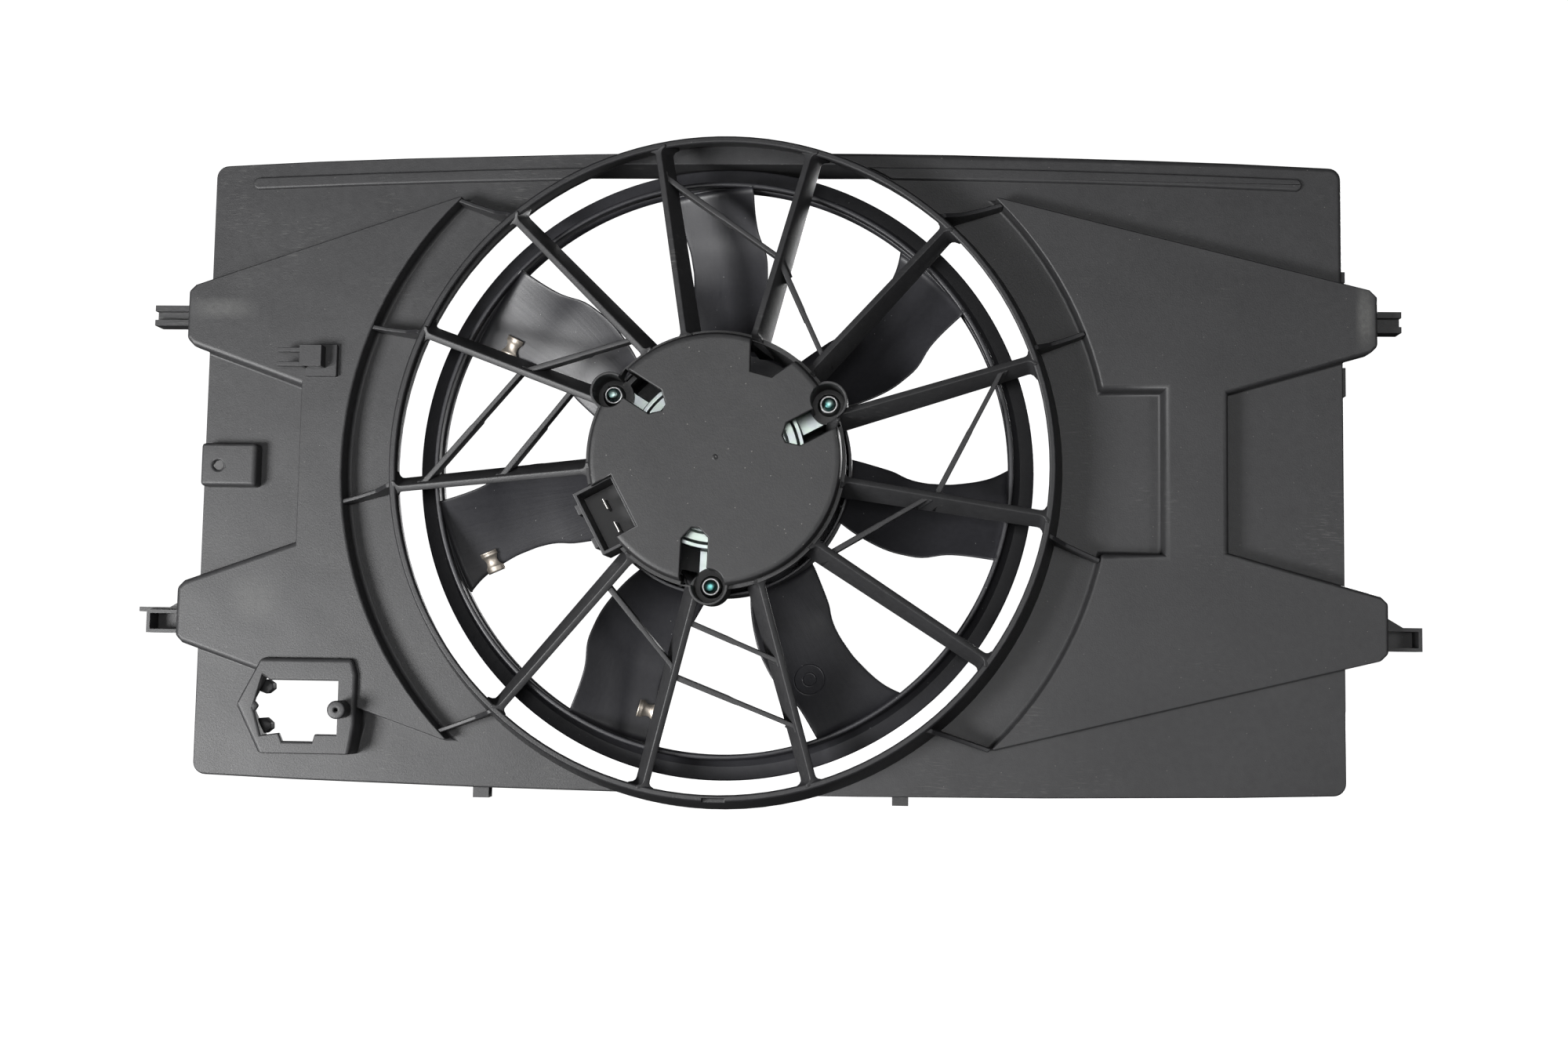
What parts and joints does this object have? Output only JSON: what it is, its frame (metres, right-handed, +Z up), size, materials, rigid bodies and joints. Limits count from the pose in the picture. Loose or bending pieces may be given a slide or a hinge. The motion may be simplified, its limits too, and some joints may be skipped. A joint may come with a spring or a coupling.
{
  "type": "radiator fan",
  "caption": "Electric radiator cooling fan with shroud panel, guard ring with slanted stator vanes, brushed motor and banded fan wheel.",
  "frame": {"origin": "on the fan axis, in the rim plane where the shroud meets the radiator", "axes": "+Z up, -Y towards the engine along the fan axis, +X to the right seen from the engine"},
  "size_m": [0.719, 0.089, 0.378],
  "materials": {
    "shroud_plastic": "grained",
    "fan_plastic": "smooth moulded",
    "connector_plastic": "smooth moulded",
    "plated_steel": "zinc plated",
    "bright_zinc": "bright zinc",
    "teal_zinc": "thread sealant",
    "spring_steel": "bright",
    "ground_steel": "ground",
    "core_steel": "laminated",
    "ferrite": "ground",
    "card_laminate": "phenolic",
    "carbon": "pressed",
    "sintered_bronze": "sintered",
    "tinned_brass": "tinned",
    "copper_wire": "enamelled",
    "copper_bars": "turned"
  },
  "bodies": {
    "shroud": {"shroud_panel": "shroud_plastic", "guard_ring": "shroud_plastic", "stator_vanes": "shroud_plastic", "cross_braces": "shroud_plastic", "motor_carrier": "shroud_plastic", "motor_can": "plated_steel", "field_magnets": "ferrite", "motor_end_plate": "plated_steel", "brush_card": "card_laminate", "carbon_brushes": "carbon", "brush_springs": "spring_steel", "front_bearing": "sintered_bronze", "rear_bearing": "sintered_bronze", "connector_housing": "connector_plastic", "terminals": "tinned_brass", "mounting_studs": "teal_zinc", "flange_nuts": "bright_zinc"},
    "fan_rotor": {"fan_hub": "fan_plastic", "fan_blades": "fan_plastic", "fan_band": "fan_plastic", "balance_clips": "spring_steel", "motor_shaft": "ground_steel", "armature_core": "core_steel", "armature_windings": "copper_wire", "commutator": "copper_bars", "thrust_washers": "ground_steel", "hub_nut": "bright_zinc"}
  },
  "joints": [
    {"name": "fan_spin", "type": "hinge", "parent": "shroud", "child": "fan_rotor", "pos_m": [0, -0.033, 0], "axis": [0, -1, 0], "continuous": true}
  ]
}
